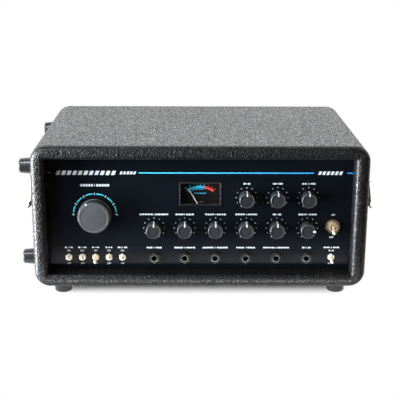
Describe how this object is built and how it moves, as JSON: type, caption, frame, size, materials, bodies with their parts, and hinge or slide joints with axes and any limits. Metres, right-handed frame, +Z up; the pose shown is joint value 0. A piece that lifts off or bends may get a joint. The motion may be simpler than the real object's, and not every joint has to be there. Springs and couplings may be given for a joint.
{
  "type": "tape echo unit",
  "caption": "Portable tape echo and spring reverb unit in a covered case with a hinged lid, side latches, control panel and tape deck inside.",
  "frame": {"origin": "centre of the bounding box's footprint on the floor plane under the feet", "axes": "+X to the unit's right seen from the front, -Y out of the front panel, +Z up"},
  "size_m": [0.4516, 0.2798, 0.1975],
  "materials": {
    "vinyl": "black pebble grain covering",
    "foot_rubber": "satin",
    "nickel": "polished nickel",
    "strap": "grained",
    "panel": "gloss black with printed markings",
    "knob": "satin",
    "zinc": "zinc plated",
    "jack": "gloss with bright ring",
    "black_nut": "gloss",
    "meter": "satin",
    "glass": "clear",
    "needle": "satin",
    "socket": "gloss",
    "board": "green",
    "core": "dull",
    "deck": "brushed",
    "cover": "clear acrylic",
    "steel": "ground",
    "brass": "turned",
    "roller": "matt",
    "tape": "brown"
  },
  "bodies": {
    "base": {"base_cabinet": "vinyl", "base_feet": "foot_rubber", "case_screws": "nickel", "hinge_leaves_base": "nickel", "latch_plates": "nickel", "carry_strap": "strap", "strap_end_caps": "nickel", "front_panel": "panel", "rotary_controls": "zinc", "jack_sockets": "jack", "jack_nuts": "black_nut", "toggle_switches": "nickel", "toggle_nuts": "nickel", "meter_case": "meter", "meter_window": "glass", "chassis_tray": "zinc", "rear_panel": "panel", "power_inlet": "socket", "circuit_board": "board", "power_transformer": "core", "reverb_tank": "zinc", "deck_plate": "deck", "tape_bin": "meter", "bin_cover": "cover", "tape_heads": "nickel", "tape_guides": "nickel", "capstan_motor": "core", "tape_loop": "tape", "drive_belt": "roller"},
    "lid": {"lid_cabinet": "vinyl", "lid_feet": "foot_rubber", "hinge_leaves_lid": "nickel", "latch_keepers": "nickel"},
    "lever_left": {"latch_lever_left": "nickel"},
    "loop_left": {"latch_loop_left": "nickel"},
    "lever_right": {"latch_lever_right": "nickel"},
    "loop_right": {"latch_loop_right": "nickel"},
    "mode_knob": {"mode_knob": "knob"},
    "input_volume_knob": {"input_volume_knob": "knob"},
    "chorus_rate_knob": {"chorus_rate_knob": "knob"},
    "chorus_depth_knob": {"chorus_depth_knob": "knob"},
    "reverb_volume_knob": {"reverb_volume_knob": "knob"},
    "tape_speed_knob": {"tape_speed_knob": "knob"},
    "echo_volume_knob": {"echo_volume_knob": "knob"},
    "bass_knob": {"bass_knob": "knob"},
    "treble_knob": {"treble_knob": "knob"},
    "feedback_knob": {"feedback_knob": "knob"},
    "input_switch_lever": {"input_switch_lever": "nickel"},
    "chorus_switch_lever": {"chorus_switch_lever": "nickel"},
    "echo_switch_lever": {"echo_switch_lever": "nickel"},
    "reverb_switch_lever": {"reverb_switch_lever": "nickel"},
    "tape_switch_lever": {"tape_switch_lever": "nickel"},
    "output_level_lever": {"output_level_lever": "nickel"},
    "power_lever": {"power_lever": "nickel"},
    "needle": {"meter_needle": "needle"},
    "capstan": {"capstan_shaft": "steel", "flywheel": "brass"},
    "motor_shaft": {"motor_pulley": "brass"},
    "pinch_arm": {"pinch_arm": "zinc"},
    "roller": {"pinch_roller": "roller"}
  },
  "joints": [
    {"name": "lid_hinge", "type": "hinge", "parent": "base", "child": "lid", "pos_m": [0, 0.1401, 0.138], "axis": [-1, 0, 0], "range_deg": [0, 105]},
    {"name": "latch_left", "type": "hinge", "parent": "base", "child": "lever_left", "pos_m": [-0.2134, -0.0975, 0.126], "axis": [0, 1, 0], "range_deg": [0, 95]},
    {"name": "latch_loop_left", "type": "hinge", "parent": "lever_left", "child": "loop_left", "pos_m": [-0.2169, -0.0975, 0.11994], "axis": [0, 1, 0], "range_deg": [-110, 0]},
    {"name": "latch_right", "type": "hinge", "parent": "base", "child": "lever_right", "pos_m": [0.2134, -0.0975, 0.126], "axis": [0, -1, 0], "range_deg": [0, 95]},
    {"name": "latch_loop_right", "type": "hinge", "parent": "lever_right", "child": "loop_right", "pos_m": [0.2169, -0.0975, 0.11994], "axis": [0, -1, 0], "range_deg": [-110, 0]},
    {"name": "mode_knob_turn", "type": "hinge", "parent": "base", "child": "mode_knob", "pos_m": [-0.133, -0.1155, 0.105], "axis": [0, 1, 0], "range_deg": [-60, 120]},
    {"name": "input_volume_knob_turn", "type": "hinge", "parent": "base", "child": "input_volume_knob", "pos_m": [-0.0585, -0.1155, 0.087], "axis": [0, 1, 0], "range_deg": [-150, 150]},
    {"name": "chorus_rate_knob_turn", "type": "hinge", "parent": "base", "child": "chorus_rate_knob", "pos_m": [-0.0195, -0.1155, 0.087], "axis": [0, 1, 0], "range_deg": [-150, 150]},
    {"name": "chorus_depth_knob_turn", "type": "hinge", "parent": "base", "child": "chorus_depth_knob", "pos_m": [0.0195, -0.1155, 0.087], "axis": [0, 1, 0], "range_deg": [-150, 150]},
    {"name": "reverb_volume_knob_turn", "type": "hinge", "parent": "base", "child": "reverb_volume_knob", "pos_m": [0.0585, -0.1155, 0.087], "axis": [0, 1, 0], "range_deg": [-150, 150]},
    {"name": "tape_speed_knob_turn", "type": "hinge", "parent": "base", "child": "tape_speed_knob", "pos_m": [0.0975, -0.1155, 0.087], "axis": [0, 1, 0], "range_deg": [-150, 150]},
    {"name": "echo_volume_knob_turn", "type": "hinge", "parent": "base", "child": "echo_volume_knob", "pos_m": [0.1365, -0.1155, 0.087], "axis": [0, 1, 0], "range_deg": [-240, 60]},
    {"name": "bass_knob_turn", "type": "hinge", "parent": "base", "child": "bass_knob", "pos_m": [0.0585, -0.1155, 0.1272], "axis": [0, 1, 0], "range_deg": [-150, 150]},
    {"name": "treble_knob_turn", "type": "hinge", "parent": "base", "child": "treble_knob", "pos_m": [0.0975, -0.1155, 0.1272], "axis": [0, 1, 0], "range_deg": [-150, 150]},
    {"name": "feedback_knob_turn", "type": "hinge", "parent": "base", "child": "feedback_knob", "pos_m": [0.1365, -0.1155, 0.1272], "axis": [0, 1, 0], "range_deg": [-150, 150]},
    {"name": "input_switch_lever_flip", "type": "hinge", "parent": "base", "child": "input_switch_lever", "pos_m": [-0.1676, -0.1169, 0.048], "axis": [-1, 0, 0], "range_deg": [-24, 0]},
    {"name": "chorus_switch_lever_flip", "type": "hinge", "parent": "base", "child": "chorus_switch_lever", "pos_m": [-0.1505, -0.1169, 0.048], "axis": [-1, 0, 0], "range_deg": [-24, 0]},
    {"name": "echo_switch_lever_flip", "type": "hinge", "parent": "base", "child": "echo_switch_lever", "pos_m": [-0.1334, -0.1169, 0.048], "axis": [-1, 0, 0], "range_deg": [0, 24]},
    {"name": "reverb_switch_lever_flip", "type": "hinge", "parent": "base", "child": "reverb_switch_lever", "pos_m": [-0.1163, -0.1169, 0.048], "axis": [-1, 0, 0], "range_deg": [-24, 0]},
    {"name": "tape_switch_lever_flip", "type": "hinge", "parent": "base", "child": "tape_switch_lever", "pos_m": [-0.0992, -0.1169, 0.048], "axis": [-1, 0, 0], "range_deg": [-24, 0]},
    {"name": "output_level_lever_flip", "type": "hinge", "parent": "base", "child": "output_level_lever", "pos_m": [0.1685, -0.1169, 0.048], "axis": [-1, 0, 0], "range_deg": [0, 24]},
    {"name": "power_lever_flip", "type": "hinge", "parent": "base", "child": "power_lever", "pos_m": [0.169, -0.1177, 0.0895], "axis": [-1, 0, 0], "range_deg": [0, 28]},
    {"name": "meter_needle_swing", "type": "hinge", "parent": "base", "child": "needle", "pos_m": [0, -0.1094, 0.1116], "axis": [0, 1, 0], "range_deg": [0, 60], "stiffness_Nm_per_rad": 0.0005},
    {"name": "capstan_spin", "type": "hinge", "parent": "base", "child": "capstan", "pos_m": [0.118, -0.03675, 0.08], "axis": [0, 0, 1], "continuous": true},
    {"name": "motor_spin", "type": "hinge", "parent": "base", "child": "motor_shaft", "pos_m": [0.05, 0.012, 0.08], "axis": [0, 0, 1], "continuous": true},
    {"name": "pinch_arm_swing", "type": "hinge", "parent": "base", "child": "pinch_arm", "pos_m": [0.142, -0.0508, 0.1375], "axis": [0, 0, -1], "range_deg": [0, 5.5], "stiffness_Nm_per_rad": 0.05},
    {"name": "pinch_roller_spin", "type": "hinge", "parent": "pinch_arm", "child": "roller", "pos_m": [0.118, -0.0508, 0.145], "axis": [0, 0, 1], "continuous": true}
  ],
  "couplings": [
    {"joint": "latch_loop_left", "follows": "latch_left", "ratio": -1.15},
    {"joint": "latch_loop_right", "follows": "latch_right", "ratio": -1.15},
    {"joint": "motor_spin", "follows": "capstan_spin", "ratio": 4}
  ]
}
